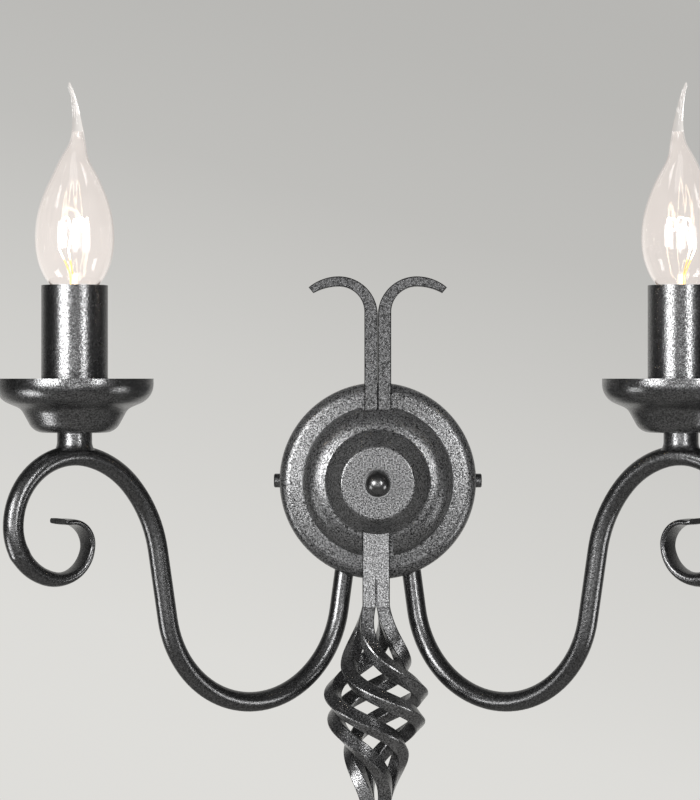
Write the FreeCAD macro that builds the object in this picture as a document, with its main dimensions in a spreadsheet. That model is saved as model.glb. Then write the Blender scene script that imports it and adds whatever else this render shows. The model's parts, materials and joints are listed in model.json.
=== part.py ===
import FreeCAD, Part
import math
import operator
import os
import Sketcher
from FreeCAD import Matrix, Placement, Rotation, Vector

# Candle wall light with two arms, in millimetres.
# The origin is the centre of the canopy in the plane of the wall.
# The wall is the XZ plane, the light stands out towards -Y, and +Z is up.

SIZES = {
    # canopy cup, an open steel pan with its rim on the wall
    "cup_radius": 48.5,
    "cup_depth": 25.0,
    "cup_wall": 1.2,
    "cup_shoulder": 6.0,
    # stepped dome over the cup's face
    "dome_inset": 11.3,
    "tier_round": 12.6,
    "neck_inset": 11.6,
    "tier_height": 13.0,
    "disc_inset": 7.8,
    "dome_height": 25.0,
    "dome_wall": 1.0,
    "dome_fillet": 1.6,
    "notch_width": 15.6,
    "notch_clearance": 0.3,
    # centre stud, its nuts, washer and ball nut
    "stud_radius": 2.95,
    "stud_hole": 3.2,
    "nut_flats": 10.0,
    "nut_height": 5.0,
    "washer_radius": 7.2,
    "washer_height": 1.0,
    "ball_radius": 6.35,
    "ball_foot": 4.6,
    "ball_level": 6.0,
    "ball_bore": 3.0,
    "ball_bore_depth": 9.0,
    "stud_reach": 8.0,
    "stud_tail": 0.8,
    # wall bracket, a strap with two folded tabs
    "strap_width": 20.0,
    "strap_gauge": 2.0,
    "strap_gap": 1.4,
    "tab_depth": 18.0,
    "slot_spacing": 60.0,
    "slot_length": 12.0,
    "slot_width": 5.0,
    "cable_hole": 6.0,
    "earth_place": 14.0,
    "bolt_tap": 2.0,
    "bolt_shank": 1.95,
    # side screws
    "side_depth": 12.5,
    "side_hole": 2.3,
    "head_radius": 3.45,
    "head_height": 2.9,
    "side_length": 8.5,
    "driver_slot": 0.9,
    "driver_depth": 1.2,
    # square iron bars
    "bar_width": 6.5,
    "bar_seam": 0.3,
    "bar_edge": 0.45,
    "bar_hide": 12.0,
    "leaf_seam": 0.1,
    "leaf_split": 81.5,
    "leaf_round": 19.0,
    "leaf_waist": 4.9,
    "leaf_tip": 3.6,
    "leaf_reach": 14.8,
    "leaf_drop": 5.4,
    # twisted basket of four bars
    "basket_top": 60.6,
    "basket_length": 99.2,
    "basket_spread": 17.1,
    "basket_side": 0.8,
    "bundle_end": 12.0,
    "weld_top": 47.3,
    "weld_slack": 0.01,
    "weld_depth": 1.6,
    # candle axis, along the arm's own plane from its hole in the cup
    "candle_reach": 152.9,
    # arms, one bent tube each side, whose bow is as wide as the candle's reach asks
    "tube_radius": 4.75,
    "tube_bore": 3.75,
    "tube_clearance": 0.1,
    "arm_side": 16.75,
    "arm_forward": 13.2,
    "arm_inset": 8.0,
    "arm_run": 18.4,
    "arm_rise": 33.4,
    "arm_hip": 61.8,
    "arm_crest": 44.5,
    "arm_brow": 32.1,
    "arm_turn": 25.2,
    "arm_curl": 16.0,
    "arm_hook": 11.2,
    "arm_tail": 5.4,
    "turn_thick": 7.2,
    "turn_width": 10.4,
    "curl_thick": 3.0,
    "curl_width": 11.4,
    "end_thick": 2.7,
    "end_width": 14.8,
    "wire_hole": 3.4,
    # neck boss on the crest of each arm
    "boss_radius": 8.1,
    "boss_foot": 9.4,
    "boss_sink": 2.4,
    "boss_flare": 1.8,
    "boss_rise": 5.8,
    "boss_bore": 5.03,
    "boss_step": 1.0,
    # drip pan, with a flat foot a little narrower than the sleeve
    "pan_radius": 36.5,
    "pan_depth": 25.0,
    "pan_wall": 1.2,
    "pan_lip": 2.5,
    "pan_foot_inset": 1.2,
    "pan_hole": 5.2,
    # hollow nipple and its nut
    "nipple_radius": 5.0,
    "nipple_bore": 3.5,
    "nipple_length": 22.1,
    "pan_nut_flats": 14.0,
    "pan_nut_height": 3.0,
    # candle sleeve
    "sleeve_radius": 15.4,
    "sleeve_wall": 1.0,
    "sleeve_length": 66.6,
    "sleeve_gap": 0.4,
    # lampholder inside the sleeve
    "holder_radius": 13.8,
    "holder_lift": 10.4,
    "holder_base": 6.0,
    "holder_chamber": 11.5,
    "holder_floor": 20.0,
    "holder_web": 4.0,
    "holder_height": 52.0,
    "holder_well": 8.6,
    "shell_bore": 7.05,
    "shell_gauge": 0.4,
    "shell_length": 18.0,
    "shell_drop": 5.0,
    "strap_wide": 4.0,
    "contact_radius": 2.0,
    "contact_flange": 4.2,
    "contact_gauge": 0.8,
    "contact_height": 7.0,
    "terminal_drop": 6.0,
    # bulb, measured up from its foot contact
    "foot_radius": 2.4,
    "foot_height": 1.2,
    "cap_bottom": 3.9,
    "thread_crest": 6.95,
    "thread_root": 6.35,
    "thread_pitch": 2.82,
    "cap_gauge": 0.4,
    "collar_radius": 8.2,
    "collar_level": 22.5,
    "cap_height": 25.0,
    "glass_radius": 18.3,
    "glass_height": 101.7,
    "glass_wall": 0.8,
    "glass_sink": 2.0,
    "stem_radius": 4.6,
    "stem_height": 13.0,
    "stem_tip": 1.6,
    "wire_gauge": 0.3,
    "filament_level": 24.0,
    "filament_radius": 7.2,
    "filament_top": 5.8,
    "filament_rise": 22.0,
    "filament_gauge": 0.4,
    # terminal block and leads
    "block_width": 14.0,
    "block_length": 30.0,
    "block_height": 14.0,
    "block_side": 27.0,
    "pole_pitch": 10.0,
    "pole_radius": 3.0,
    "pole_bore": 2.4,
    "pole_slack": 0.03,
    "pole_screw": 1.5,
    "pole_clamp": 2.35,
    "fix_screw": 1.4,
    "fix_head": 1.6,
    "fix_head_height": 1.0,
    "core": 1.1,
    "core_offset": 1.3,
    "core_pair": 1.2,
    "lead_round": 4.0,
    "ring_radius": 4.0,
    "ring_gauge": 0.8,
    "earth_head": 3.4,
    "earth_head_height": 2.4,
    # spare length of every cutting tool
    "overrun": 1.0,
}

# Angles in degrees
CUP_SLOPE = 7.0
PAN_SLOPE = 22.9
PAN_STEEP = 59.0
ARM_PLANE = 36.0
ARM_LEAN = 80.7
HIP_TURN = 32.4
CREST_TURN = 34.75
BROW_TURN = 104.2
ROUND_TURN = 25.0
LAST_TURN = 51.6
CURL_TURN = 96.0
HOOK_TURN = 93.0
TWIST = 360.0

# The filament's first foot and the turn from each foot to the next top
FILAMENT_START = 200.0
FILAMENT_STEP = 35.0

# Widest place of the basket, down its length
PEAK_SHARE = 0.473
# How much of its swelling is sharp, and how sharp
SHARP_SHARE = 0.5
SHARPNESS = 6
# Arcs and the flat of the pan's wall, of the span between its foot and its rim
PAN_BOWL_SHARE = 0.4375
PAN_FLAT_SHARE = 0.19
PAN_HOLLOW_SHARE = 0.27
PAN_FOOT_SHARE = 0.34
# Rise of the cone wall's offset inside the dome
CONE_SHARE = 0.6
# Corner radius of the flattened tube, of its thickness
OVAL_CORNER_SHARE = 0.42
# Radius of the boss's hollow flank, of its height
BOSS_HOLLOW_SHARE = 1.6
# Crest and root of each turn of the cap's thread, of its pitch
THREAD_CREST_SHARE = 0.9
THREAD_ROOT_SHARE = 1.3
# Middle of the shell's strap beyond its bore, of the shell's gauge
STRAP_SHARE = 1.25
# Foot of the earth ring's tail, of the ring's radius
TAIL_SHARE = 0.8
# Outline of the glass: height, radius and lean of its centre, of the glass's own height and radius
GLASS_SHARES = [
    (0.0, 0.402, 0.0),
    (0.022, 0.42, 0.0),
    (0.045, 0.478, 0.0),
    (0.08, 0.62, 0.0),
    (0.119, 0.775, 0.0),
    (0.155, 0.865, 0.0),
    (0.192, 0.935, 0.0),
    (0.228, 0.975, 0.0),
    (0.264, 0.997, 0.0),
    (0.30, 1.0, 0.0),
    (0.337, 0.99, 0.0),
    (0.374, 0.965, 0.0),
    (0.447, 0.87, 0.0),
    (0.52, 0.72, 0.0),
    (0.592, 0.53, 0.0),
    (0.665, 0.33, 0.0),
    (0.702, 0.25, 0.045),
    (0.738, 0.19, 0.075),
    (0.775, 0.155, 0.08),
    (0.811, 0.128, 0.07),
    (0.847, 0.103, 0.05),
    (0.884, 0.085, 0.02),
    (0.92, 0.07, -0.015),
    (0.957, 0.055, -0.065),
    (1.0, 0.02, -0.13),
]
GLASS_HOLLOW_SHARE = 0.78
ARM_STATIONS = 5
CURL_STATIONS = 9
TWIST_STATIONS = 32
THREAD_TURNS = 5
FILAMENT_HAIRPINS = 4
POLES = (-1, 0, 1)
SIDES = {"left": -1, "right": 1}

OPERATORS = {"+": operator.add, "-": operator.sub, "*": operator.mul, "/": operator.truediv}

# Turns an upright piece so that its top faces the room
FACE_OUT = Rotation(Vector(1, 0, 0), 90)
# Turns an upright piece so that its top points along +X
ALONG_X = Rotation(Vector(0, 1, 0), 90)
UP = Vector(0, 0, 1)


class Size:
    """A length together with the sheet expression that gives it."""

    def __init__(self, text, value):
        self.text = text
        self.value = value

    def combine(self, sign, left, right):
        left, right = as_size(left), as_size(right)
        text = "(" + left.text + " " + sign + " " + right.text + ")"
        return Size(text, OPERATORS[sign](left.value, right.value))

    def __add__(self, other):
        return self.combine("+", self, other)

    def __radd__(self, other):
        return self.combine("+", other, self)

    def __sub__(self, other):
        return self.combine("-", self, other)

    def __rsub__(self, other):
        return self.combine("-", other, self)

    def __mul__(self, other):
        return self.combine("*", self, other)

    def __rmul__(self, other):
        return self.combine("*", other, self)

    def __truediv__(self, other):
        return self.combine("/", self, other)

    def __neg__(self):
        return self.combine("-", 0, self)

    def root(self):
        return Size("sqrt(" + self.text + ")", math.sqrt(self.value))


def as_size(thing):
    return thing if isinstance(thing, Size) else Size(repr(thing), float(thing))


class Named:
    """Holds one Size for each row of the sheet."""


doc = FreeCAD.newDocument("candle_wall_light")
sheet = doc.addObject("Spreadsheet::Sheet", "Sizes")
s = Named()
for row, (alias, number) in enumerate(SIZES.items(), 1):
    sheet.set("A" + str(row), alias)
    sheet.set("B" + str(row), str(number))
    sheet.setAlias("B" + str(row), alias)
    setattr(s, alias, Size("Sizes." + alias, number))
doc.recompute()

parts = {}


def keep(label, obj):
    """Names an object as one of the finished sub-parts."""
    obj.Label = label
    parts[label] = obj
    return obj


def bind(obj, **sizes):
    for name, size in sizes.items():
        obj.setExpression(name, as_size(size).text)


def place(obj, x=0, y=0, z=0, rotation=None):
    """Puts an object at three sizes, turned by a fixed rotation."""
    base = [as_size(x), as_size(y), as_size(z)]
    obj.Placement = Placement(Vector(*[b.value for b in base]), rotation or Rotation())
    for axis, size in zip("xyz", base):
        obj.setExpression("Placement.Base." + axis, size.text if size.value else None)
    return obj


def cylinder(name, radius, height, x=0, y=0, z=0, rotation=None):
    obj = doc.addObject("Part::Cylinder", name)
    bind(obj, Radius=radius, Height=height)
    return place(obj, x, y, z, rotation)


def box(name, length, width, height, x=0, y=0, z=0, rotation=None):
    """A box whose centre in its length and width lies at x and y, and its foot at z."""
    obj = doc.addObject("Part::Box", name)
    bind(obj, Length=length, Width=width, Height=height)
    return place(obj, x - as_size(length) / 2, y - as_size(width) / 2, z, rotation)


def hexagon(name, flats, height, x=0, y=0, z=0, rotation=None):
    obj = doc.addObject("Part::Prism", name)
    obj.Polygon = 6
    bind(obj, Circumradius=flats / 3 * as_size(3).root(), Height=height)
    return place(obj, x, y, z, rotation)


def cut(name, base, tools):
    """Base less each of the tools."""
    tool = tools[0] if len(tools) == 1 else fuse(name + "_tools", tools)
    obj = doc.addObject("Part::Cut", name)
    obj.Base = base
    obj.Tool = tool
    return obj


def fuse(name, shapes):
    obj = doc.addObject("Part::MultiFuse", name)
    obj.Shapes = shapes
    return obj


def group(name, shapes):
    """Separate solids that share one node."""
    obj = doc.addObject("Part::Compound", name)
    obj.Links = shapes
    return obj


def mirrored(name, source):
    obj = doc.addObject("Part::Mirroring", name)
    obj.Source = source
    obj.Normal = Vector(1, 0, 0)
    return obj


def feature(name, shape):
    obj = doc.addObject("Part::Feature", name)
    obj.Shape = shape
    return obj


def arc_centre(start, end, radius):
    """Centre of the short arc between two points; a positive radius turns left."""
    chord = end - start
    height = math.sqrt(max(radius * radius - chord.Length * chord.Length / 4, 0))
    left = Vector(-chord.y, chord.x, 0) / chord.Length
    return (start + end) / 2 + left * math.copysign(height, radius)


def outline(body, name, plane, points):
    """A closed sketch. Each point is x, y and, where the line to it is an arc, the arc's radius."""
    sketch = body.newObject("Sketcher::SketchObject", name + "_sketch")
    origin = [o for o in body.Origin.OriginFeatures if o.Role == plane]
    sketch.AttachmentSupport = [(origin[0], "")]
    sketch.MapMode = "FlatFace"
    corners = [Vector(as_size(p[0]).value, as_size(p[1]).value, 0) for p in points]
    tails, heads = [], []
    for i, point in enumerate(points):
        start, end = corners[i - 1], corners[i]
        tail, head = 1, 2
        if len(point) == 2:
            sketch.addGeometry(Part.LineSegment(start, end), False)
        else:
            radius = as_size(point[2]).value
            centre = arc_centre(start, end, radius)
            if radius < 0:
                start, end, tail, head = end, start, 2, 1
            first = math.atan2(start.y - centre.y, start.x - centre.x)
            last = math.atan2(end.y - centre.y, end.x - centre.x)
            circle = Part.Circle(centre, UP, abs(radius))
            sketch.addGeometry(Part.ArcOfCircle(circle, first, last), False)
        tails.append(tail)
        heads.append(head)
    for i, point in enumerate(points):
        following = (i + 1) % len(points)
        sketch.addConstraint(
            Sketcher.Constraint("Coincident", i, heads[i], following, tails[following])
        )
        for axis, kind, size in ((-2, "DistanceX", point[0]), (-1, "DistanceY", point[1])):
            size = as_size(size)
            if size.text in ("0", "0.0"):
                sketch.addConstraint(Sketcher.Constraint("PointOnObject", i, heads[i], axis))
                continue
            held = Sketcher.Constraint(kind, -1, 1, i, heads[i], size.value)
            index = sketch.addConstraint(held)
            sketch.setExpression("Constraints[" + str(index) + "]", size.text)
        if len(point) == 3:
            radius = as_size(point[2])
            radius = -radius if radius.value < 0 else radius
            index = sketch.addConstraint(Sketcher.Constraint("Radius", i, radius.value))
            sketch.setExpression("Constraints[" + str(index) + "]", radius.text)
    return sketch


def turned(name, points):
    """A body turned about its own Z axis. Each point is a radius and a height."""
    body = doc.addObject("PartDesign::Body", name)
    turn = body.newObject("PartDesign::Revolution", name + "_turn")
    turn.Profile = outline(body, name, "XZ_Plane", points)
    turn.ReferenceAxis = (turn.Profile[0], ["V_Axis"])
    turn.Angle = 360
    body.Tip = turn
    return body


def ring(name, inner, outer, height):
    return turned(name, [(inner, 0), (outer, 0), (outer, height), (inner, height)])


def rounded_edges(body, name, kind, size, chosen):
    """Fillets or chamfers the edges that the test picks."""
    doc.recompute()
    base = body.Tip
    edges = [
        "Edge" + str(i) for i, edge in enumerate(base.Shape.Edges, 1) if chosen(edge)
    ]
    easing = body.newObject("PartDesign::" + kind, name)
    easing.Base = (base, edges)
    if kind == "Fillet":
        bind(easing, Radius=size)
    else:
        bind(easing, Size=size)
    body.Tip = easing
    return easing


def is_circle(edge, radius, level):
    curve = edge.Curve
    round_edge = isinstance(curve, Part.Circle)
    if not round_edge or abs(curve.Radius - radius.value) > s.bar_edge.value / 10:
        return False
    return abs(curve.Center.z - level.value) < s.bar_edge.value / 10


def pipe(edges, radius):
    """A round rod along tangent edges."""
    wire = Part.Wire(edges)
    first = wire.Edges[0]
    start = first.valueAt(first.FirstParameter)
    heading = first.tangentAt(first.FirstParameter)
    if (start - wire.OrderedVertexes[0].Point).Length > radius / 10:
        start = first.valueAt(first.LastParameter)
        heading = first.tangentAt(first.LastParameter) * -1
    profile = Part.Wire([Part.makeCircle(radius, start, heading)])
    return wire.makePipeShell([profile], True, False)


def rounded(points, radius):
    """Edges through the points, with a tangent arc at each one between the ends."""
    edges = []
    last = points[0]
    for before, corner, after in zip(points, points[1:], points[2:]):
        arriving = (corner - before).normalize()
        leaving = (after - corner).normalize()
        half = arriving.getAngle(leaving) / 2
        reach = radius * math.tan(half)
        inward = (leaving - arriving).normalize()
        start = corner - arriving * reach
        middle = corner + inward * (radius / math.cos(half) - radius)
        end = corner + leaving * reach
        edges.append(Part.makeLine(last, start))
        edges.append(Part.Arc(start, middle, end).toShape())
        last = end
    edges.append(Part.makeLine(last, points[-1]))
    return edges


class Trail:
    """A plane path of straight runs and tangent arcs, walked from its start."""

    def __init__(self, x, y, heading):
        self.place = Vector(x, y, 0)
        self.heading = math.radians(heading)
        self.pieces = []

    def along(self, heading):
        return Vector(math.cos(heading), math.sin(heading), 0)

    def left(self, heading):
        return Vector(-math.sin(heading), math.cos(heading), 0)

    def run(self, length):
        end = self.place + self.along(self.heading) * length
        self.pieces.append((self.place, None, end))
        self.place = end
        return self

    def bend_point(self, radius, angle, share):
        """Place and heading part of the way round an arc; a negative angle turns right."""
        turn = math.radians(angle)
        centre = self.place + self.left(self.heading) * math.copysign(radius, turn)
        heading = self.heading + turn * share
        return centre - self.left(heading) * math.copysign(radius, turn), heading

    def bend(self, radius, angle):
        middle, heading = self.bend_point(radius, angle, 0.5)
        end, heading = self.bend_point(radius, angle, 1.0)
        self.pieces.append((self.place, middle, end))
        self.place, self.heading = end, heading
        return self


def piece_edge(piece, mapped=lambda point: point):
    start, middle, end = piece
    if middle is None:
        return Part.makeLine(mapped(start), mapped(end))
    return Part.Arc(mapped(start), mapped(middle), mapped(end)).toShape()


def oval(centre, across, over, thickness, width):
    """A closed wire of four arcs: a circle, or a round tube pressed flat."""
    if abs(width - thickness) < thickness / 1000:
        px = pz = thickness / 2 / math.sqrt(2)
    else:
        corner = thickness * OVAL_CORNER_SHARE
        reach = width / 2 - corner
        flat = (reach * reach + thickness * thickness / 4 - corner * corner)
        flat = flat / (thickness - 2 * corner)
        px = reach + corner * reach / (flat - corner)
        pz = corner * (flat - thickness / 2) / (flat - corner)

    def spot(along_over, along_across):
        return centre + over * along_over + across * along_across

    ends = [spot(px, pz), spot(-px, pz), spot(-px, -pz), spot(px, -pz)]
    middles = [
        spot(0, thickness / 2),
        spot(-width / 2, 0),
        spot(0, -thickness / 2),
        spot(width / 2, 0),
    ]
    arcs = [
        Part.Arc(ends[i], middles[i], ends[(i + 1) % len(ends)]).toShape()
        for i in range(len(ends))
    ]
    return Part.Wire(arcs)


lean_turn = math.radians(ARM_LEAN)
hip_turn = math.radians(ARM_LEAN - HIP_TURN)
crest_turn = math.radians(ARM_LEAN - HIP_TURN - CREST_TURN)
candle_turn = math.radians(ARM_PLANE)

# Each step of the dome stands back from the one below, and the arms enter the cup's rim
DOME_RADIUS = s.cup_radius - s.dome_inset
NECK_RADIUS = DOME_RADIUS - s.neck_inset
DISC_RADIUS = NECK_RADIUS - s.disc_inset
ARM_DOWN = (s.cup_radius * s.cup_radius - s.arm_side * s.arm_side).root()
STRAP_MIDDLE = s.shell_bore + s.shell_gauge * STRAP_SHARE

# The candle stands where the arm's crest is level; the bow below takes up the rest of the reach
BELLY = s.candle_reach - (s.arm_run + s.arm_rise) * math.cos(lean_turn)
BELLY = BELLY - s.arm_hip * (math.sin(lean_turn) - math.sin(hip_turn))
BELLY = BELLY - s.arm_crest * (math.sin(hip_turn) - math.sin(crest_turn))
BELLY = (BELLY - s.arm_brow * math.sin(crest_turn)) / (2 * math.sin(lean_turn))
CREST = (s.arm_rise - s.arm_run) * math.sin(lean_turn) - ARM_DOWN
CREST = CREST + s.arm_hip * (math.cos(hip_turn) - math.cos(lean_turn))
CREST = CREST + s.arm_crest * (math.cos(crest_turn) - math.cos(hip_turn))
CREST = CREST + s.arm_brow * (1 - math.cos(crest_turn))
PAN_FOOT = CREST + s.tube_radius + s.boss_rise
HOLDER_FOOT = PAN_FOOT + s.holder_lift
BULB_FOOT = HOLDER_FOOT + s.holder_floor + s.contact_height
CANDLE_SIDE = s.arm_side + s.candle_reach * math.cos(candle_turn)
CANDLE_FORWARD = s.arm_forward + s.candle_reach * math.sin(candle_turn)


def arm_trail():
    """Centre line of the round tube in the arm's own plane; x runs from the cup's hole."""
    start_x = -s.arm_inset.value * math.cos(lean_turn)
    start_y = -ARM_DOWN.value + s.arm_inset.value * math.sin(lean_turn)
    trail = Trail(start_x, start_y, -ARM_LEAN)
    trail.run(s.arm_inset.value + s.arm_run.value)
    trail.bend(BELLY.value, 2 * ARM_LEAN)
    trail.run(s.arm_rise.value)
    trail.bend(s.arm_hip.value, -HIP_TURN)
    trail.bend(s.arm_crest.value, -CREST_TURN)
    return trail


def arm_point(side, offset=0.0):
    """Maps the arm's plane into the light's frame, moved by an offset across the plane."""
    turn = candle_turn

    def mapped(point):
        x = s.arm_side.value + point.x * math.cos(turn) - offset * math.sin(turn)
        y = s.arm_forward.value + point.x * math.sin(turn) + offset * math.cos(turn)
        return Vector(side * x, -y, point.y)

    return mapped


def arm_placement(side):
    """Placement that carries a shape from the XY plane into the arm's plane."""
    turn = math.radians(ARM_PLANE)
    out = Vector(side * math.cos(turn), -math.sin(turn), 0)
    across = out.cross(UP)
    root = Vector(side * s.arm_side.value, -s.arm_forward.value, 0)
    matrix = Matrix(
        out.x, UP.x, across.x, root.x,
        out.y, UP.y, across.y, root.y,
        out.z, UP.z, across.z, root.z,
    )
    return Placement(matrix)


def at_candle(obj, side, level, rotation=None):
    return place(obj, CANDLE_SIDE * side, -CANDLE_FORWARD, level, rotation)


# Canopy
def canopy_cup():
    slope = math.radians(CUP_SLOPE)
    centre = s.cup_radius - s.cup_shoulder
    fall = (centre + s.cup_shoulder * math.sin(slope) - DOME_RADIUS) * math.tan(slope)
    level = s.cup_depth - fall - s.cup_shoulder * math.cos(slope)

    def shoulder(radius):
        return centre + radius * math.sin(slope), level + radius * math.cos(slope)

    inner_round = s.cup_shoulder - s.cup_wall
    shell = turned("cup_shell", [
        (s.cup_radius, 0),
        (s.cup_radius, level),
        shoulder(s.cup_shoulder) + (s.cup_shoulder,),
        (DOME_RADIUS, s.cup_depth),
        (s.stud_hole, s.cup_depth),
        (s.stud_hole, s.cup_depth - s.cup_wall),
        (DOME_RADIUS - s.cup_wall * math.tan(slope / 2), s.cup_depth - s.cup_wall),
        shoulder(inner_round),
        (s.cup_radius - s.cup_wall, level, -inner_round),
        (s.cup_radius - s.cup_wall, 0),
    ])
    place(shell, rotation=FACE_OUT)
    width = s.cup_radius + s.overrun
    tools = [cylinder("side_holes", s.side_hole, 2 * width, -width, -s.side_depth, 0, ALONG_X)]
    tools.append(cylinder(
        "block_hole", s.fix_screw, s.cup_wall + 2 * s.overrun,
        -s.block_side, s.overrun + s.cup_wall - s.cup_depth, s.pole_pitch / 2, FACE_OUT,
    ))
    lean = math.radians(ARM_LEAN)
    for name, side in SIDES.items():
        mapped = arm_point(side)
        foot = Vector(0, -ARM_DOWN.value, 0)
        step = Vector(math.cos(lean), -math.sin(lean), 0) * s.arm_inset.value
        line = Part.makeLine(mapped(foot - step), mapped(foot + step))
        hole = pipe([line], s.tube_radius.value + s.tube_clearance.value)
        tools.append(feature("arm_hole_" + name, hole))
    keep("canopy_cup", cut("cup_cut", shell, tools))


def canopy_dome():
    lid = s.dome_height - s.dome_wall
    shell = turned("dome_shell", [
        (DOME_RADIUS, 0),
        (NECK_RADIUS, s.tier_height, s.tier_round),
        (DISC_RADIUS, s.dome_height),
        (s.stud_hole, s.dome_height),
        (s.stud_hole, lid),
        (DISC_RADIUS - s.dome_wall * CONE_SHARE, lid),
        (NECK_RADIUS - s.dome_wall * CONE_SHARE, s.tier_height - s.dome_wall),
        (DOME_RADIUS - s.dome_wall, 0, s.dome_wall - s.tier_round),
    ])
    rounded_edges(shell, "dome_rounding", "Fillet", s.dome_fillet, lambda edge: (
        is_circle(edge, NECK_RADIUS, s.tier_height)
        or is_circle(edge, DISC_RADIUS, s.dome_height)
    ))
    place(shell, 0, -s.cup_depth, 0, FACE_OUT)
    tools = []
    for name, side, bars in (("top", 1, 1), ("bottom", -1, 2)):
        depth = s.bar_width * bars + s.bar_seam * (bars - 1) + s.notch_clearance
        tall = s.cup_radius - DISC_RADIUS
        middle = (DISC_RADIUS + tall / 2) * side
        tools.append(box(
            "notch_" + name, s.notch_width, tall, depth + s.overrun,
            0, 0, 0, FACE_OUT,
        ))
        place(
            tools[-1], -s.notch_width / 2, s.overrun - s.cup_depth, middle - tall / 2, FACE_OUT
        )
    keep("canopy_dome", cut("dome_cut", shell, tools))


def centre_fixings():
    front = s.cup_depth + s.dome_height
    tail = s.cup_depth - s.cup_wall - s.nut_height - s.stud_tail
    reach = front + s.washer_height + s.stud_reach
    keep("centre_stud", cylinder(
        "stud_rod", s.stud_radius, reach - tail, 0, -tail, 0, FACE_OUT
    ))
    nuts = []
    for name, depth in (("back", s.cup_depth - s.cup_wall - s.nut_height), ("front", s.cup_depth)):
        block = hexagon("nut_block_" + name, s.nut_flats, s.nut_height, 0, -depth, 0, FACE_OUT)
        bore = cylinder(
            "nut_bore_" + name, s.ball_bore, s.nut_height + 2 * s.overrun,
            0, s.overrun - depth, 0, FACE_OUT,
        )
        nuts.append(cut("stud_nut_" + name, block, [bore]))
    keep("stud_nuts", group("nut_pair", nuts))
    washer = ring("washer_ring", s.stud_hole, s.washer_radius, s.washer_height)
    keep("ball_washer", place(washer, 0, -front, 0, FACE_OUT))
    seat = (s.ball_radius * s.ball_radius - s.ball_foot * s.ball_foot).root()
    ball = turned("ball_body", [
        (s.ball_bore, 0),
        (s.ball_foot, 0),
        (s.ball_foot, s.ball_level - seat),
        (0, s.ball_level + s.ball_radius, s.ball_radius),
        (0, s.ball_bore_depth),
        (s.ball_bore, s.ball_bore_depth),
    ])
    keep("ball_nut", place(ball, 0, -(front + s.washer_height), 0, FACE_OUT))


def wall_bracket():
    reach = s.cup_radius - s.cup_wall - s.strap_gap
    strap = box("strap_flat", 2 * reach, s.strap_width, s.strap_gauge)
    place(strap, -reach, 0, -s.strap_width / 2, FACE_OUT)
    pieces = [strap]
    for name, side in SIDES.items():
        tab = box("tab_" + name, s.strap_gauge, s.strap_width, s.tab_depth)
        edge = reach if side < 0 else s.strap_gauge - reach
        place(tab, -edge, 0, -s.strap_width / 2, FACE_OUT)
        pieces.append(tab)
    depth = s.overrun + s.strap_gauge + s.overrun
    tools = [cylinder("cable_cut", s.cable_hole, depth, 0, s.overrun, 0, FACE_OUT)]
    tools.append(cylinder("earth_cut", s.bolt_tap, depth, s.earth_place, s.overrun, 0, FACE_OUT))
    tools.append(cylinder(
        "tab_cut", s.bolt_tap, 2 * s.cup_radius, -s.cup_radius, -s.side_depth, 0, ALONG_X
    ))
    for name, side in SIDES.items():
        middle = s.slot_spacing / 2 * side
        half = (s.slot_length - s.slot_width) / 2
        bar = box("slot_bar_" + name, 2 * half, s.slot_width, depth)
        place(bar, middle - half, s.overrun, -s.slot_width / 2, FACE_OUT)
        tools.append(bar)
        for end in (-1, 1):
            tools.append(cylinder(
                "slot_end_" + name + str(end + 1), s.slot_width / 2, depth,
                middle + half * end, s.overrun, 0, FACE_OUT,
            ))
    keep("wall_bracket", cut("bracket_cut", fuse("bracket_blank", pieces), tools))


def screw_solid(name, radius, length, head_radius, head_height, placement, turn=0.0):
    """A slotted screw whose head stands on the placement's plane and whose shank goes behind it."""
    head = turned(name + "_head", [
        (0, 0),
        (head_radius, 0),
        (head_radius, head_height - s.bar_edge),
        (head_radius - s.bar_edge, head_height),
        (0, head_height),
    ])
    shank = cylinder(name + "_shank", radius, length, 0, 0, -length)
    slot = box(
        name + "_slot", s.driver_slot, 2 * head_radius + s.overrun, s.driver_depth,
        0, 0, head_height - s.driver_depth / 2,
    )
    upright = cut(name + "_upright", fuse(name + "_blank", [head, shank]), [slot])
    turned_screw = doc.addObject("Part::Compound", name)
    turned_screw.Links = [upright]
    x, y, z, rotation = placement
    return place(turned_screw, x, y, z, rotation.multiply(Rotation(UP, turn)))


def side_screws():
    screws = []
    for name, side, turn in (("left", -1, 90.0), ("right", 1, 25.0)):
        facing = Rotation(Vector(0, 1, 0), 90 * side)
        spot = (s.cup_radius * side, -s.side_depth, 0, facing)
        screws.append(screw_solid(
            "side_screw_" + name, s.bolt_shank, s.side_length, s.head_radius, s.head_height,
            spot, turn,
        ))
    keep("side_screws", group("side_screw_pair", screws))


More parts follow.
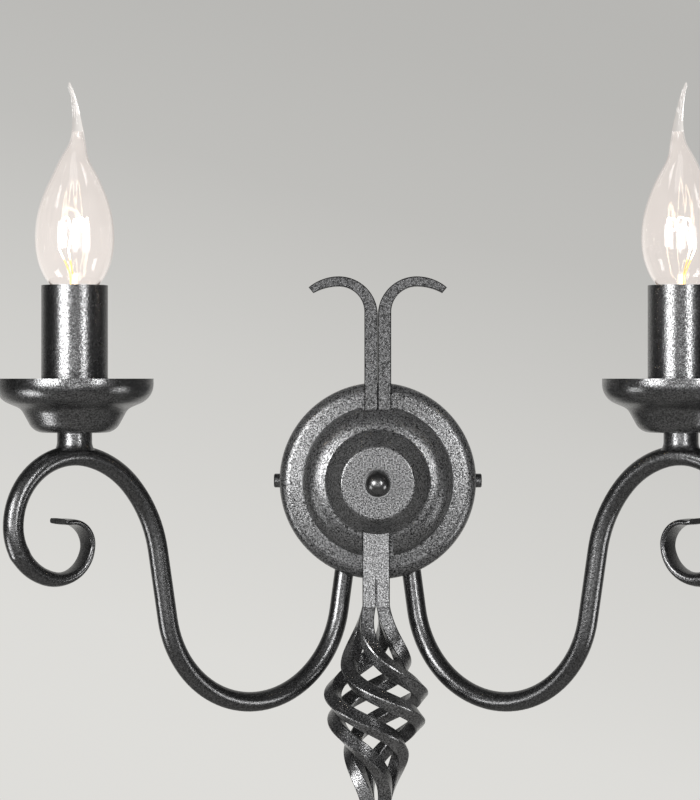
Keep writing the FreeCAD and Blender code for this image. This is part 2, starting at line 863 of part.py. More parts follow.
# Bars and basket
def leaf_bars():
    inner = s.leaf_seam / 2
    crown = s.leaf_split + s.leaf_round
    apex = inner + s.leaf_round
    concave = apex - inner - s.bar_width
    fall = s.leaf_drop / s.leaf_reach
    tip_x = apex + s.leaf_reach
    tip_z = crown - s.leaf_drop
    # the cut end stands square to the curve, which falls there at twice the chord's angle
    steep = 1 + fall * fall
    back_x = tip_x - s.leaf_tip * 2 * fall / steep
    back_z = tip_z - s.leaf_tip * (2 - steep) / steep
    reach = back_x - apex
    drop = crown - s.leaf_waist - back_z
    points = [
        (inner, s.bar_hide),
        (inner, s.leaf_split),
        (apex, crown, -s.leaf_round),
        (tip_x, tip_z, -(s.leaf_reach * s.leaf_reach + s.leaf_drop * s.leaf_drop)
         / (2 * s.leaf_drop)),
        (back_x, back_z),
        (apex, crown - s.leaf_waist, (reach * reach + drop * drop) / (2 * drop)),
        (inner + s.bar_width, crown - s.leaf_waist - concave, concave),
        (inner + s.bar_width, s.bar_hide),
    ]
    body = doc.addObject("PartDesign::Body", "leaf_body")
    pad = body.newObject("PartDesign::Pad", "leaf_pad")
    pad.Profile = outline(body, "leaf", "XY_Plane", points)
    bind(pad, Length=s.bar_width)
    body.Tip = pad
    rounded_edges(body, "leaf_edges", "Chamfer", s.bar_edge, lambda edge: (
        abs(edge.CenterOfMass.z - s.bar_width.value) < s.bar_edge.value / 10
        or edge.BoundBox.ZLength < s.bar_edge.value / 10
    ))
    place(body, 0, -s.cup_depth, 0, FACE_OUT)
    keep("leaf_bar_right", body)
    keep("leaf_bar_left", mirrored("leaf_mirror", body))


def bar_section(centre, outward, across):
    """Square section with small flats at its corners; one corner points outward."""
    half = s.bar_width.value / math.sqrt(2)
    flat = s.bar_edge.value / math.sqrt(2)
    corners = []
    first, second = outward, across
    for count in range(4):
        corners.append(centre + first * (half - flat) - second * flat)
        corners.append(centre + first * (half - flat) + second * flat)
        first, second = second, -first
    return Part.makePolygon(corners + corners[:1])


def strand_shape():
    """One bar of the basket, about the basket's own axis, with its corner at angle zero."""
    base_radius = (s.bar_width.value + s.bar_seam.value) / math.sqrt(2)
    top = -s.basket_top.value
    length = s.basket_length.value

    def centre(share):
        if share < PEAK_SHARE:
            swell = (PEAK_SHARE - share) / PEAK_SHARE
        else:
            swell = (share - PEAK_SHARE) / (1 - PEAK_SHARE)
        bulge = math.cos(math.pi / 2 * swell)
        bulge = bulge * (1 - SHARP_SHARE) + bulge ** SHARPNESS * SHARP_SHARE
        radius = base_radius + s.basket_spread.value * bulge
        turn = math.sin(math.pi / 2 * (2 * share - 1))
        angle = math.radians(TWIST / 2 * (1 + turn))
        return Vector(radius * math.cos(angle), radius * math.sin(angle), top - length * share)

    wires = []
    for i in range(TWIST_STATIONS + 1):
        share = i / TWIST_STATIONS
        spot = centre(share)
        nudge = 1 / TWIST_STATIONS / 100
        tangent = (centre(min(share + nudge, 1)) - centre(max(share - nudge, 0))).normalize()
        if i in (0, TWIST_STATIONS):
            tangent = Vector(0, 0, -1)
        outward = Vector(spot.x, spot.y, 0).normalize()
        outward = (outward - tangent * outward.dot(tangent)).normalize()
        across = tangent.cross(outward)
        wires.append(bar_section(spot, outward, across))
    basket = Part.makeLoft(wires, True, False)
    tail = Part.Face(wires[0]).extrude(Vector(0, 0, s.basket_top.value - s.bar_hide.value))
    end = Part.Face(wires[-1]).extrude(Vector(0, 0, -s.bundle_end.value))
    return basket.fuse([tail, end]).removeSplitter()


def weld_core():
    """Plate between the bars that stops short of their faces."""
    half = s.bar_width + s.bar_seam / 2 - s.weld_depth
    thick = s.bar_seam / 2 - s.weld_slack
    return [(-half, -thick), (half, -thick), (half, thick), (-half, thick)]


def weld_cap():
    """Plate that also fills the grooves between the bars' edges, flush with their faces."""
    half = s.bar_width + s.bar_seam / 2
    thick = s.bar_seam / 2 - s.weld_slack
    wide = thick + s.bar_edge
    points = []
    for side in (1, -1):
        points += [
            (half * side, -wide * side),
            (half * side, wide * side),
            ((half - s.bar_edge) * side, thick * side),
            ((s.bar_edge - half) * side, thick * side),
        ]
    return points


def weld_cross(name, points, tall, axis, bottom):
    plates = []
    for way, turn in (("along", 0), ("across", 90)):
        body = doc.addObject("PartDesign::Body", name + "_" + way)
        pad = body.newObject("PartDesign::Pad", name + "_" + way + "_pad")
        pad.Profile = outline(body, name + "_" + way, "XY_Plane", points)
        bind(pad, Length=tall)
        body.Tip = pad
        plates.append(place(body, -s.basket_side, axis, bottom, Rotation(UP, turn)))
    return plates


def basket():
    axis = -(s.cup_depth + s.bar_width + s.bar_seam / 2)
    middle = Vector(-s.basket_side.value, axis.value, 0)
    shape = strand_shape()
    for count in range(4):
        strand = feature("strand_" + str(count + 1), shape)
        strand.Placement = Placement(middle, Rotation(UP, 225 + 90 * count))
        keep("basket_strand_" + str(count + 1), strand)
    low = s.basket_top + s.basket_length
    for name, top, flush, bottom in (
        ("top", -s.bar_hide, -s.weld_top, -s.basket_top),
        ("bottom", -(low + s.bar_seam), -(low + s.bar_seam), -(low + s.bundle_end)),
    ):
        pieces = weld_cross(name + "_core", weld_core(), top - bottom, axis, bottom)
        if flush.value < top.value:
            pieces += weld_cross(name + "_cap", weld_cap(), top - flush, axis, flush)
        keep(name + "_weld", fuse(name + "_weld_cross", pieces))


# Arms
def arm_shape():
    trail = arm_trail()
    trail.bend(s.arm_brow.value, -BROW_TURN)
    trail.bend(s.arm_turn.value, -ROUND_TURN)
    edges = [piece_edge(piece) for piece in trail.pieces]
    start = trail.pieces[0][0]
    lean = -math.radians(ARM_LEAN)
    first = oval(start, trail.left(lean), UP, 2 * s.tube_radius.value, 2 * s.tube_radius.value)
    tube = Part.Wire(edges).makePipeShell([first], True, False)
    thick, wide = 2 * s.tube_radius.value, 2 * s.tube_radius.value
    wires = []
    stretches = (
        (s.arm_turn.value, LAST_TURN, ARM_STATIONS, s.turn_thick.value, s.turn_width.value),
        (s.arm_curl.value, CURL_TURN, CURL_STATIONS, s.curl_thick.value, s.curl_width.value),
        (s.arm_hook.value, HOOK_TURN, CURL_STATIONS, s.end_thick.value, s.end_width.value),
    )
    for radius, angle, stations, next_thick, next_wide in stretches:
        for i in range(stations + 1):
            share = i / stations
            if i == 0 and wires:
                continue
            spot, heading = trail.bend_point(radius, -angle, share)
            wires.append(oval(
                spot, trail.left(heading), UP,
                thick + (next_thick - thick) * share, wide + (next_wide - wide) * share,
            ))
        trail.bend(radius, -angle)
        thick, wide = next_thick, next_wide
    trail.run(s.arm_tail.value)
    wires.append(oval(trail.place, trail.left(trail.heading), UP, thick, wide))
    scroll = Part.makeLoft(wires, True, False)
    bore = pipe(edges, s.tube_bore.value)
    hole = Part.makeCylinder(
        s.wire_hole.value, 2 * s.tube_radius.value,
        Vector(s.candle_reach.value, CREST.value, 0), Vector(0, 1, 0),
    )
    return tube.fuse(scroll).cut(bore.fuse(hole))


def arms():
    shape = arm_shape()
    for name, side in SIDES.items():
        arm = feature("arm_tube_" + name, shape)
        arm.Placement = arm_placement(side)
        keep("arm_" + name, arm)


def saddle_shape():
    """A rod a little thicker than the tube, along the arm's crest."""
    trail = arm_trail()
    crest = len(trail.pieces) - 1
    trail.bend(s.arm_brow.value, -BROW_TURN)
    edges = [piece_edge(piece) for piece in trail.pieces[crest:]]
    return pipe(edges, s.tube_radius.value + s.weld_slack.value)


def neck_bosses():
    saddle = saddle_shape()
    foot = CREST + s.tube_radius - s.boss_sink
    height = s.boss_rise + s.boss_sink
    step = s.boss_sink + s.boss_step
    flare = s.boss_flare + s.boss_sink
    for name, side in SIDES.items():
        body = turned("boss_body_" + name, [
            (s.wire_hole, 0),
            (s.boss_foot, 0),
            (s.boss_radius, flare, -flare * BOSS_HOLLOW_SHARE),
            (s.boss_radius, height),
            (s.boss_bore, height),
            (s.boss_bore, step),
            (s.wire_hole, step),
        ])
        at_candle(body, side, foot)
        tool = feature("saddle_" + name, saddle)
        tool.Placement = arm_placement(side)
        keep("neck_boss_" + name, cut("boss_cut_" + name, body, [tool]))


# Candles
def pan_profile():
    """Outer and inner walls of the pan as radius, height above its foot, and arc radius."""
    wall = s.pan_wall
    foot_radius = s.sleeve_radius - s.pan_foot_inset
    span = s.pan_radius - foot_radius
    bowl = span * PAN_BOWL_SHARE
    hollow = span * PAN_HOLLOW_SHARE
    foot_round = span * PAN_FOOT_SHARE
    slope = math.radians(PAN_SLOPE)
    steep = math.radians(PAN_STEEP)
    rim = s.pan_depth - s.pan_lip
    bowl_end = (
        s.pan_radius - bowl * (1 - math.sin(slope)),
        rim - bowl * math.cos(slope),
    )
    flat = span * PAN_FLAT_SHARE
    bend = (bowl_end[0] - flat * math.cos(slope), bowl_end[1] - flat * math.sin(slope))
    fall = (
        bend[0] - hollow * (math.sin(steep) - math.sin(slope)),
        bend[1] - hollow * (math.cos(slope) - math.cos(steep)),
    )
    foot = (
        foot_radius + foot_round * math.sin(steep),
        foot_round * (1 - math.cos(steep)),
    )
    outer = [
        (foot_radius, 0),
        foot + (foot_round,),
        fall,
        bend + (-hollow,),
        bowl_end,
        (s.pan_radius, rim, bowl),
        (s.pan_radius, s.pan_depth),
    ]
    lift = (wall * math.sin(slope), wall * math.cos(slope))
    rise = (wall * math.sin(steep), wall * math.cos(steep))
    inner = [
        (s.pan_radius - wall, s.pan_depth),
        (s.pan_radius - wall, rim),
        (bowl_end[0] - lift[0], bowl_end[1] + lift[1], wall - bowl),
        (bend[0] - lift[0], bend[1] + lift[1]),
        (fall[0] - rise[0], fall[1] + rise[1], hollow + wall),
        (foot[0] - rise[0], foot[1] + rise[1]),
        (foot_radius, wall, wall - foot_round),
    ]
    return outer, inner


def drip_pans():
    outer, inner = pan_profile()
    points = [(s.pan_hole, 0)] + outer + inner + [(s.pan_hole, s.pan_wall)]
    for name, side in SIDES.items():
        body = turned("pan_body_" + name, points)
        keep("drip_pan_" + name, at_candle(body, side, PAN_FOOT))


def nipples():
    foot = CREST + s.tube_radius + s.boss_step
    floor = PAN_FOOT + s.pan_wall
    nuts = []
    for name, side in SIDES.items():
        body = ring("nipple_tube_" + name, s.nipple_bore, s.nipple_radius, s.nipple_length)
        keep("nipple_" + name, at_candle(body, side, foot))
        block = at_candle(
            hexagon("pan_nut_block_" + name, s.pan_nut_flats, s.pan_nut_height), side, floor
        )
        bore = at_candle(
            cylinder("pan_nut_bore_" + name, s.boss_bore, s.pan_nut_height + 2 * s.overrun),
            side, floor - s.overrun,
        )
        nuts.append(cut("pan_nut_" + name, block, [bore]))
    keep("pan_nuts", group("pan_nut_pair", nuts))


def candle_sleeves():
    foot = PAN_FOOT + s.pan_wall + s.sleeve_gap
    for name, side in SIDES.items():
        body = ring(
            "sleeve_tube_" + name, s.sleeve_radius - s.sleeve_wall, s.sleeve_radius,
            s.sleeve_length,
        )
        keep("candle_sleeve_" + name, at_candle(body, side, foot))


def lampholders():
    shell_outer = s.shell_bore + s.shell_gauge
    web_top = s.holder_floor + s.holder_web
    for name, side in SIDES.items():
        level = HOLDER_FOOT
        body = turned("holder_body_" + name, [
            (s.boss_bore, 0),
            (s.holder_radius, 0),
            (s.holder_radius, s.holder_height),
            (s.holder_well, s.holder_height),
            (s.holder_well, web_top),
            (s.contact_radius + s.weld_slack, web_top),
            (s.contact_radius + s.weld_slack, s.holder_floor),
            (s.holder_chamber, s.holder_floor),
            (s.holder_chamber, s.holder_base),
            (s.boss_bore, s.holder_base),
        ])
        at_candle(body, side, level)
        facing = Rotation(UP, (90 - ARM_PLANE) * side)
        strap_low = s.holder_floor - s.terminal_drop
        shell_low = s.holder_height - s.shell_drop - s.shell_length
        strap_high = shell_low + s.shell_length / 2
        gauge = s.shell_gauge * 2

        def strap_box(title, spare):
            shape = box(title, gauge + spare, s.strap_wide + spare, strap_high - strap_low)
            left = STRAP_MIDDLE - (gauge + spare) / 2
            place(shape, left, -(s.strap_wide + spare) / 2, strap_low)
            whole = doc.addObject("Part::Compound", title + "_turned")
            whole.Links = [shape]
            return at_candle(whole, side, level, facing)

        slot = strap_box("holder_slot_" + name, 2 * s.weld_slack)
        web = at_candle(
            cylinder("holder_web_" + name, s.holder_well, s.holder_web), side,
            level + s.holder_floor,
        )
        through = doc.addObject("Part::Common", "holder_slit_" + name)
        through.Base = slot
        through.Tool = web
        keep("lampholder_" + name, cut("holder_cut_" + name, body, [through]))
        tube = ring("shell_tube_" + name, s.shell_bore, shell_outer, s.shell_length)
        at_candle(tube, side, level + shell_low)
        strap = strap_box("shell_strap_" + name, as_size(0))
        keep("holder_shell_" + name, fuse("shell_" + name, [tube, strap]))
        pin = turned("contact_pin_" + name, [
            (0, 0),
            (s.contact_radius, 0),
            (s.contact_radius, s.terminal_drop + s.holder_web),
            (s.contact_flange, s.terminal_drop + s.holder_web),
            (s.contact_flange, s.terminal_drop + s.holder_web + s.contact_gauge),
            (s.contact_radius, s.terminal_drop + s.holder_web + s.contact_gauge),
            (s.contact_radius, s.contact_height + s.terminal_drop),
            (0, s.contact_height + s.terminal_drop),
        ])
        keep("holder_contact_" + name, at_candle(pin, side, level + strap_low))


def bulb_caps():
    for name, side in SIDES.items():
        foot = cylinder("foot_disc_" + name, s.foot_radius, s.foot_height)
        keep("bulb_foot_" + name, at_candle(foot, side, BULB_FOOT))
        insulator = turned("insulator_cone_" + name, [
            (0, s.foot_height),
            (s.foot_radius + s.shell_gauge, s.foot_height),
            (s.thread_root - s.cap_gauge, s.cap_bottom),
            (0, s.cap_bottom),
        ])
        keep("bulb_insulator_" + name, at_candle(insulator, side, BULB_FOOT))
        points = [(s.foot_radius, s.cap_bottom), (s.thread_root, s.cap_bottom)]
        for count in range(THREAD_TURNS):
            level = s.cap_bottom + s.thread_pitch * count
            points.append((s.thread_crest, level + s.thread_pitch * THREAD_CREST_SHARE))
            points.append((s.thread_root, level + s.thread_pitch * THREAD_ROOT_SHARE))
        top = s.collar_level
        points += [
            (s.thread_root, top - s.thread_pitch / 2),
            (s.collar_radius, top),
            (s.collar_radius, s.cap_height),
            (s.collar_radius - s.cap_gauge, s.cap_height),
            (s.collar_radius - s.cap_gauge, top + s.cap_gauge / 2),
            (s.thread_root - s.cap_gauge, top - s.thread_pitch / 2 + s.cap_gauge / 2),
            (s.thread_root - s.cap_gauge, s.cap_bottom + s.cap_gauge),
            (s.foot_radius, s.cap_bottom + s.cap_gauge),
        ]
        cap = turned("cap_shell_" + name, points)
        keep("bulb_cap_" + name, at_candle(cap, side, BULB_FOOT))


def glass_shape(height, wall):
    """A loft of level circles up the outline; the height share stops a hollow short."""
    wires = []
    for up, across, lean in GLASS_SHARES:
        if up > height:
            break
        radius = s.glass_radius.value * across - wall
        spot = Vector(s.glass_radius.value * lean, 0, s.glass_height.value * up)
        wires.append(Part.Wire([Part.makeCircle(radius, spot, UP)]))
    return Part.makeLoft(wires, True, False)


def bulb_glass():
    outside = glass_shape(1.0, 0.0)
    hollow = glass_shape(GLASS_HOLLOW_SHARE, s.glass_wall.value)
    shape = outside.cut(hollow)
    base = BULB_FOOT + s.cap_height - s.glass_sink
    for name, side in SIDES.items():
        glass = feature("glass_" + name, shape)
        at_candle(glass, side, base, Rotation(UP, 90 + 90 * side))
        keep("bulb_glass_" + name, glass)


def bulb_insides():
    """Outline of the glass stem, and the shapes of its two lead wires and the hairpin filament."""
    base = s.cap_height - s.glass_sink
    top = base + s.stem_height
    flare = s.glass_radius * GLASS_SHARES[0][1] - s.glass_wall - s.weld_slack
    stem_points = [
        (0, base),
        (flare, base),
        (s.stem_radius, base + s.glass_sink),
        (s.stem_tip, base + s.stem_height / 2),
        (s.stem_tip, top),
        (0, top),
    ]
    low = (base + s.filament_level).value
    high = low + s.filament_rise.value
    hairpins = []
    for count in range(2 * FILAMENT_HAIRPINS + 1):
        angle = math.radians(FILAMENT_START + FILAMENT_STEP * count)
        up = count % 2
        radius = (s.filament_top if up else s.filament_radius).value
        level = high if up else low
        hairpins.append(Vector(radius * math.cos(angle), radius * math.sin(angle), level))
    shapes = [pipe(rounded(hairpins, s.stem_tip.value), s.filament_gauge.value)]
    gap = s.stem_tip.value + s.wire_gauge.value
    for end, inner in ((hairpins[0], hairpins[1]), (hairpins[-1], hairpins[-2])):
        out = Vector(end.x, end.y, 0).normalize()
        foot = out * gap
        points = [
            Vector(foot.x, foot.y, (base + s.stem_height / 2).value + s.stem_tip.value),
            Vector(foot.x, foot.y, top.value),
            end + (inner - end).normalize() * s.filament_gauge.value,
        ]
        shapes.append(pipe(rounded(points, s.stem_radius.value), s.wire_gauge.value))
    return stem_points, shapes


def bulb_stems():
    stem_points, wires = bulb_insides()
    for name, side in SIDES.items():
        stem = turned("stem_rod_" + name, stem_points)
        keep("bulb_stem_" + name, at_candle(stem, side, BULB_FOOT))
        shape = wires[0].multiFuse(wires[1:])
        filament = feature("filament_wire_" + name, shape)
        at_candle(filament, side, BULB_FOOT, Rotation(UP, 90 + 90 * side))
        keep("bulb_filament_" + name, filament)


# Wiring inside the canopy and the arms
def pole_depth():
    return s.side_depth + s.overrun


def terminal_block():
    back = s.cup_depth - s.cup_wall - s.block_height
    low = -s.block_length / 2
    left = -s.block_side - s.block_width / 2
    body = box("block_body", s.block_width, s.block_length, s.block_height)
    place(body, left, -back, low, FACE_OUT)
    bores, tubes, screws, sockets = [], [], [], []
    for pole in POLES:
        level = s.pole_pitch * pole
        tag = str(pole + 1)
        bores.append(cylinder(
            "block_bore_" + tag, s.pole_radius + s.pole_slack, s.block_width + 2 * s.overrun,
            left - s.overrun, -pole_depth(), level, ALONG_X,
        ))
        outer = cylinder(
            "pole_outer_" + tag, s.pole_radius, s.block_width - s.overrun,
            left + s.overrun / 2, -pole_depth(), level, ALONG_X,
        )
        inner = cylinder(
            "pole_inner_" + tag, s.pole_bore, s.block_width + 2 * s.overrun,
            left - s.overrun, -pole_depth(), level, ALONG_X,
        )
        taps = []
        for end in (-1, 1):
            x = -s.block_side + s.block_width / 4 * end
            mark = tag + str(end + 1)
            tip = pole_depth() - s.pole_clamp
            start = back - s.overrun / 2
            screws.append(cylinder(
                "pole_screw_" + mark, s.pole_screw, tip - start, x, -start, level, FACE_OUT
            ))
            for kind, store in (("block", sockets), ("pole", taps)):
                store.append(cylinder(
                    kind + "_tap_" + mark, s.pole_screw + s.pole_slack,
                    pole_depth() - back + s.overrun, x, s.overrun - back, level, FACE_OUT,
                ))
        tubes.append(cut("pole_tube_" + tag, outer, [inner] + taps))
    fixing_level = s.pole_pitch / 2
    sockets.append(cylinder(
        "fix_socket", s.fix_screw + s.pole_slack, s.block_height + 2 * s.overrun,
        -s.block_side, s.overrun - back, fixing_level, FACE_OUT,
    ))
    keep("terminal_block", cut("block_cut", body, bores + sockets))
    keep("terminal_tubes", group("pole_tubes", tubes))
    keep("terminal_screws", group("pole_screws", screws))
    shank = cylinder(
        "fix_shank", s.fix_screw, s.block_height + s.cup_wall + s.overrun,
        -s.block_side, -back, fixing_level, FACE_OUT,
    )
    head = cylinder(
        "fix_head_disc", s.fix_head, s.fix_head_height,
        -s.block_side, s.fix_head_height - back, fixing_level, FACE_OUT,
    )
    keep("block_screw", fuse("block_screw_body", [shank, head]))


def lead_edges(side, offset, pole):
    """Centre line of one core from its terminal, through the arm, to the foot of the lampholder."""
    mapped = arm_point(side, offset)
    lean = math.radians(ARM_LEAN)
    inner = Vector(0, -ARM_DOWN.value, 0)
    back = Vector(-math.cos(lean), math.sin(lean), 0)
    mouth = mapped(inner + back * (s.arm_inset.value + s.overrun.value))
    above = mapped(inner + back * (s.arm_inset.value + 2 * s.lead_round.value))
    block_face = -s.block_side.value + s.block_width.value / 2
    level = s.pole_pitch.value * pole
    depth = -pole_depth().value + side * s.core_pair.value
    start = Vector(block_face - s.lead_round.value, depth, level)
    beside = above.x + (1 + pole) * s.lead_round.value / 2
    turn = Vector(beside, depth, level)
    below = Vector(beside, depth, -s.pole_pitch.value - 1.5 * s.lead_round.value)
    edges = rounded([start, turn, below, above, mouth], s.lead_round.value / 2)
    trail = arm_trail()
    pieces = trail.pieces
    edges.append(Part.makeLine(mouth, mapped(pieces[0][2])))
    edges += [piece_edge(piece, mapped) for piece in pieces[1:]]
    rise = s.candle_reach.value - trail.place.x
    radius = rise / (1 - math.sin(trail.heading))
    trail.bend(radius, 90 - math.degrees(trail.heading))
    edges.append(piece_edge(trail.pieces[-1], mapped))
    return edges, mapped(trail.place)


def leads():
    top = (HOLDER_FOOT + s.holder_floor - s.terminal_drop).value
    radius = s.core.value
    strap = STRAP_MIDDLE.value
    low = top - s.terminal_drop.value
    for name, side in SIDES.items():
        middle = arm_point(side)(Vector(s.candle_reach.value, 0, 0))
        for kind, way, pole in (("live", side, -1), ("neutral", -side, 0)):
            edges, foot = lead_edges(side, way * s.core_offset.value, pole)
            if kind == "live":
                edges.append(Part.makeLine(foot, Vector(foot.x, foot.y, top)))
            else:
                outward = Vector(foot.x - middle.x, foot.y - middle.y, 0).normalize()
                end = Vector(middle.x, middle.y, top) + outward * strap
                before = end - UP * (s.core.value + s.overrun.value / 2)
                edges += rounded([foot, Vector(foot.x, foot.y, low), before, end], radius)
            core = feature("core_" + kind + "_" + name, pipe(edges, radius))
            keep(kind + "_lead_" + name, core)


def earth_bonding():
    gauge = s.strap_gauge
    ring_plate = ring("ring_plate", s.bolt_tap + s.pole_slack, s.ring_radius, s.ring_gauge)
    place(ring_plate, s.earth_place, -gauge, 0, FACE_OUT)
    tail = box("ring_tail", s.ring_radius, 2 * s.ring_radius, s.ring_gauge)
    place(
        tail, s.earth_place - s.ring_radius / 2, -gauge, s.ring_radius * TAIL_SHARE, FACE_OUT
    )
    keep("earth_ring", fuse("earth_ring_body", [ring_plate, tail]))
    head_seat = gauge + s.ring_gauge
    spot = (s.earth_place, -head_seat, 0, FACE_OUT)
    keep("earth_screw", screw_solid(
        "earth_screw_solid", s.bolt_shank, head_seat, s.earth_head, s.earth_head_height, spot
    ))
    block_face = -s.block_side.value + s.block_width.value / 2
    depth = -pole_depth().value
    level = s.pole_pitch.value
    step = s.lead_round.value
    rest = -(head_seat + s.core).value
    x = s.earth_place.value
    points = [
        Vector(block_face - step, depth, level),
        Vector(0, depth, level + step),
        Vector(x, depth + step, level + 3 * step),
        Vector(x, rest, level + step),
        Vector(x, rest, s.ring_radius.value + s.core.value),
    ]
    keep("earth_lead", feature("earth_core", pipe(rounded(points, step), s.core.value)))


canopy_cup()
canopy_dome()
centre_fixings()
wall_bracket()
side_screws()
leaf_bars()
basket()
arms()
neck_bosses()
drip_pans()
nipples()
candle_sleeves()
lampholders()
bulb_caps()
bulb_glass()
bulb_stems()
terminal_block()
leads()
earth_bonding()
doc.recompute()

for obj in doc.Objects:
    if "Invalid" in obj.State or "Error" in obj.State:
        raise RuntimeError(obj.Name + " failed: " + ", ".join(obj.State))
for label, obj in parts.items():
    if obj.Shape.isNull() or not obj.Shape.isValid():
        raise RuntimeError(label + " has no valid shape")

os.makedirs("parts", exist_ok=True)
for label, obj in parts.items():
    obj.Shape.exportStep("parts/" + label + ".step")
    print(label, len(obj.Shape.Solids), "solids", round(obj.Shape.Volume), "mm3")
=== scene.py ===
import json
import math

import bpy
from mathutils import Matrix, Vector


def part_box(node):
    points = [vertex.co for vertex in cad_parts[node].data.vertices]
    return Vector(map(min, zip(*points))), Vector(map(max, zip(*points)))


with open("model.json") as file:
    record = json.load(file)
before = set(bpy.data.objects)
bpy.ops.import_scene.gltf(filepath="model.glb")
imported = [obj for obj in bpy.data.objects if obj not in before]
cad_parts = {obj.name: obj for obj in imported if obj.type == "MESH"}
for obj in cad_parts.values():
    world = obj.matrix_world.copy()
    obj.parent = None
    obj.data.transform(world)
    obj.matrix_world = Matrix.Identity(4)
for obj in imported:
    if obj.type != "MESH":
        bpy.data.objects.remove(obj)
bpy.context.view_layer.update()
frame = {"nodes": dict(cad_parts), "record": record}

# The camera that was fitted to the photograph, with its axis this many pixels off the middle
PHOTO_HEIGHT = 800
AXIS_RIGHT = 27.8
AXIS_UP = 22.0
CAMERA_PLACE = (0.0, -1.4, 0.0508)
CAMERA_LENS = 126.0
SENSOR_WIDTH = 36.0

FLOOR_LEVEL = -1.8
FLOOR_RADIUS = 3.0

# The backdrop that the camera sees: levels from below to above, leaning a little across
BACKDROP_LEVELS = (
    (0.0, 0.735), (0.12, 0.725), (0.46, 0.625), (0.70, 0.525), (0.90, 0.485), (1.0, 0.475),
)
BACKDROP_TINT = (1.0, 0.99, 0.955)
BACKDROP_SPAN = 0.15
BACKDROP_LEAN = 0.28

# The room that glossy surfaces mirror: levels from straight in front to straight behind
ROOM_LEVELS = (
    (0.0, 0.62), (0.025, 0.50), (0.1, 0.17), (0.25, 0.04), (0.5, 0.015), (0.7, 0.04),
)
NEUTRAL = (1.0, 1.0, 1.0)
DIFFUSE_STRENGTH = 0.25
GLOSSY_STRENGTH = 1.3
# Glossy rays that leave this far backward see the backdrop instead of the room
BACKWARD = (0.3, 0.8)

# Name, azimuth and elevation in degrees, distance, width, height, radiance, and the rays it
# lights: diffuse or glossy ones. Azimuth 0 is in front, and positive is to the right.
LAMPS = (
    ("front_soft", -4, 3, 1.9, 0.9, 0.9, 8.0, "diffuse"),
    ("top_soft", -10, 60, 1.9, 1.0, 0.8, 4.0, "diffuse"),
    ("left_box", -36, 8, 0.93, 0.42, 0.42, 14.5, "glossy"),
    ("right_lamp", 30, 8, 0.92, 0.16, 0.34, 18.0, "glossy"),
    ("front_low", 0, -7, 1.0, 0.22, 0.14, 6.2, "glossy"),
    ("low_glow", -70, -26, 0.5, 0.13, 0.16, 7.0, "glossy"),
    ("low_glow", 70, -26, 0.5, 0.13, 0.16, 7.0, "glossy"),
)
LAMP_AIM = Vector((0.0, -0.06, 0.02))

# The black paint's middle grey, its grain's contrast and the span of noise where it changes
PAINT_GREY = 0.128
GRAIN_CONTRAST = 0.83
GRAIN_EDGES = (0.37, 0.63)
# How fine its grain, its pebbles and its worn patches are, and how high the first two stand
GRAIN_SCALE = 1380.0
PEBBLE_SCALE = 420.0
PATCH_SCALE = 45.0
GRAIN_HEIGHT = 0.00012
PEBBLE_HEIGHT = 0.0003
PEBBLE_SHARE = 0.06
# How much rougher the paint is in its dull patches
DULLER = 0.07
# How high the skin of metal, plastic and wire stands
SKIN_HEIGHT = 0.0001
# The drawing lines of zinc plate are long in X and fine across it
DRAWN_SCALE = (120.0, 2200.0, 2200.0)
# Where most of a noise pattern's values lie
USUAL = (0.3, 0.7)

# Where the filament starts to glow white, above the foot of its lead wires; below it, the wires
# keep a faint painted amber glow
HEAT_START = 0.011
HEAT_FULL = 0.015


def colour(red, green, blue):
    return (red, green, blue, 1.0)


def grey(level, tint=NEUTRAL):
    return colour(*[level * part for part in tint])


class Nodes:
    """A node tree, with short ways to add and join its nodes."""

    def __init__(self, tree):
        self.tree = tree

    def add(self, kind, inputs=None, **settings):
        node = self.tree.nodes.new(kind)
        for key, value in settings.items():
            setattr(node, key, value)
        for key, value in (inputs or {}).items():
            self.feed(node.inputs[key], value)
        return node

    def feed(self, socket, value):
        if isinstance(value, bpy.types.NodeSocket):
            self.tree.links.new(value, socket)
        else:
            socket.default_value = value

    def combine(self, operation, first, second):
        node = self.add("ShaderNodeMath", {0: first, 1: second}, operation=operation)
        return node.outputs["Value"]

    def ramp(self, value, low, high, first=0.0, last=1.0):
        """Maps low..high to first..last, and stays at the ends outside."""
        node = self.add("ShaderNodeMapRange", {
            "Value": value, "From Min": low, "From Max": high, "To Min": first, "To Max": last,
        })
        return node.outputs["Result"]

    def blend(self, factor, first, second):
        # The colour sockets of a Mix node are its inputs 6 and 7, and its output 2
        node = self.add("ShaderNodeMix", data_type="RGBA")
        for index, value in ((0, factor), (6, first), (7, second)):
            self.feed(node.inputs[index], value)
        return node.outputs[2]

    def levels(self, value, stops, tint=NEUTRAL):
        """A colour ramp through greys, given as pairs of place and level."""
        node = self.add("ShaderNodeValToRGB", {"Fac": value})
        elements = node.color_ramp.elements
        while len(elements) < len(stops):
            elements.new(0.5)
        for element, (place, level) in zip(elements, stops):
            element.position = place
            element.color = grey(level, tint)
        return node.outputs["Color"]


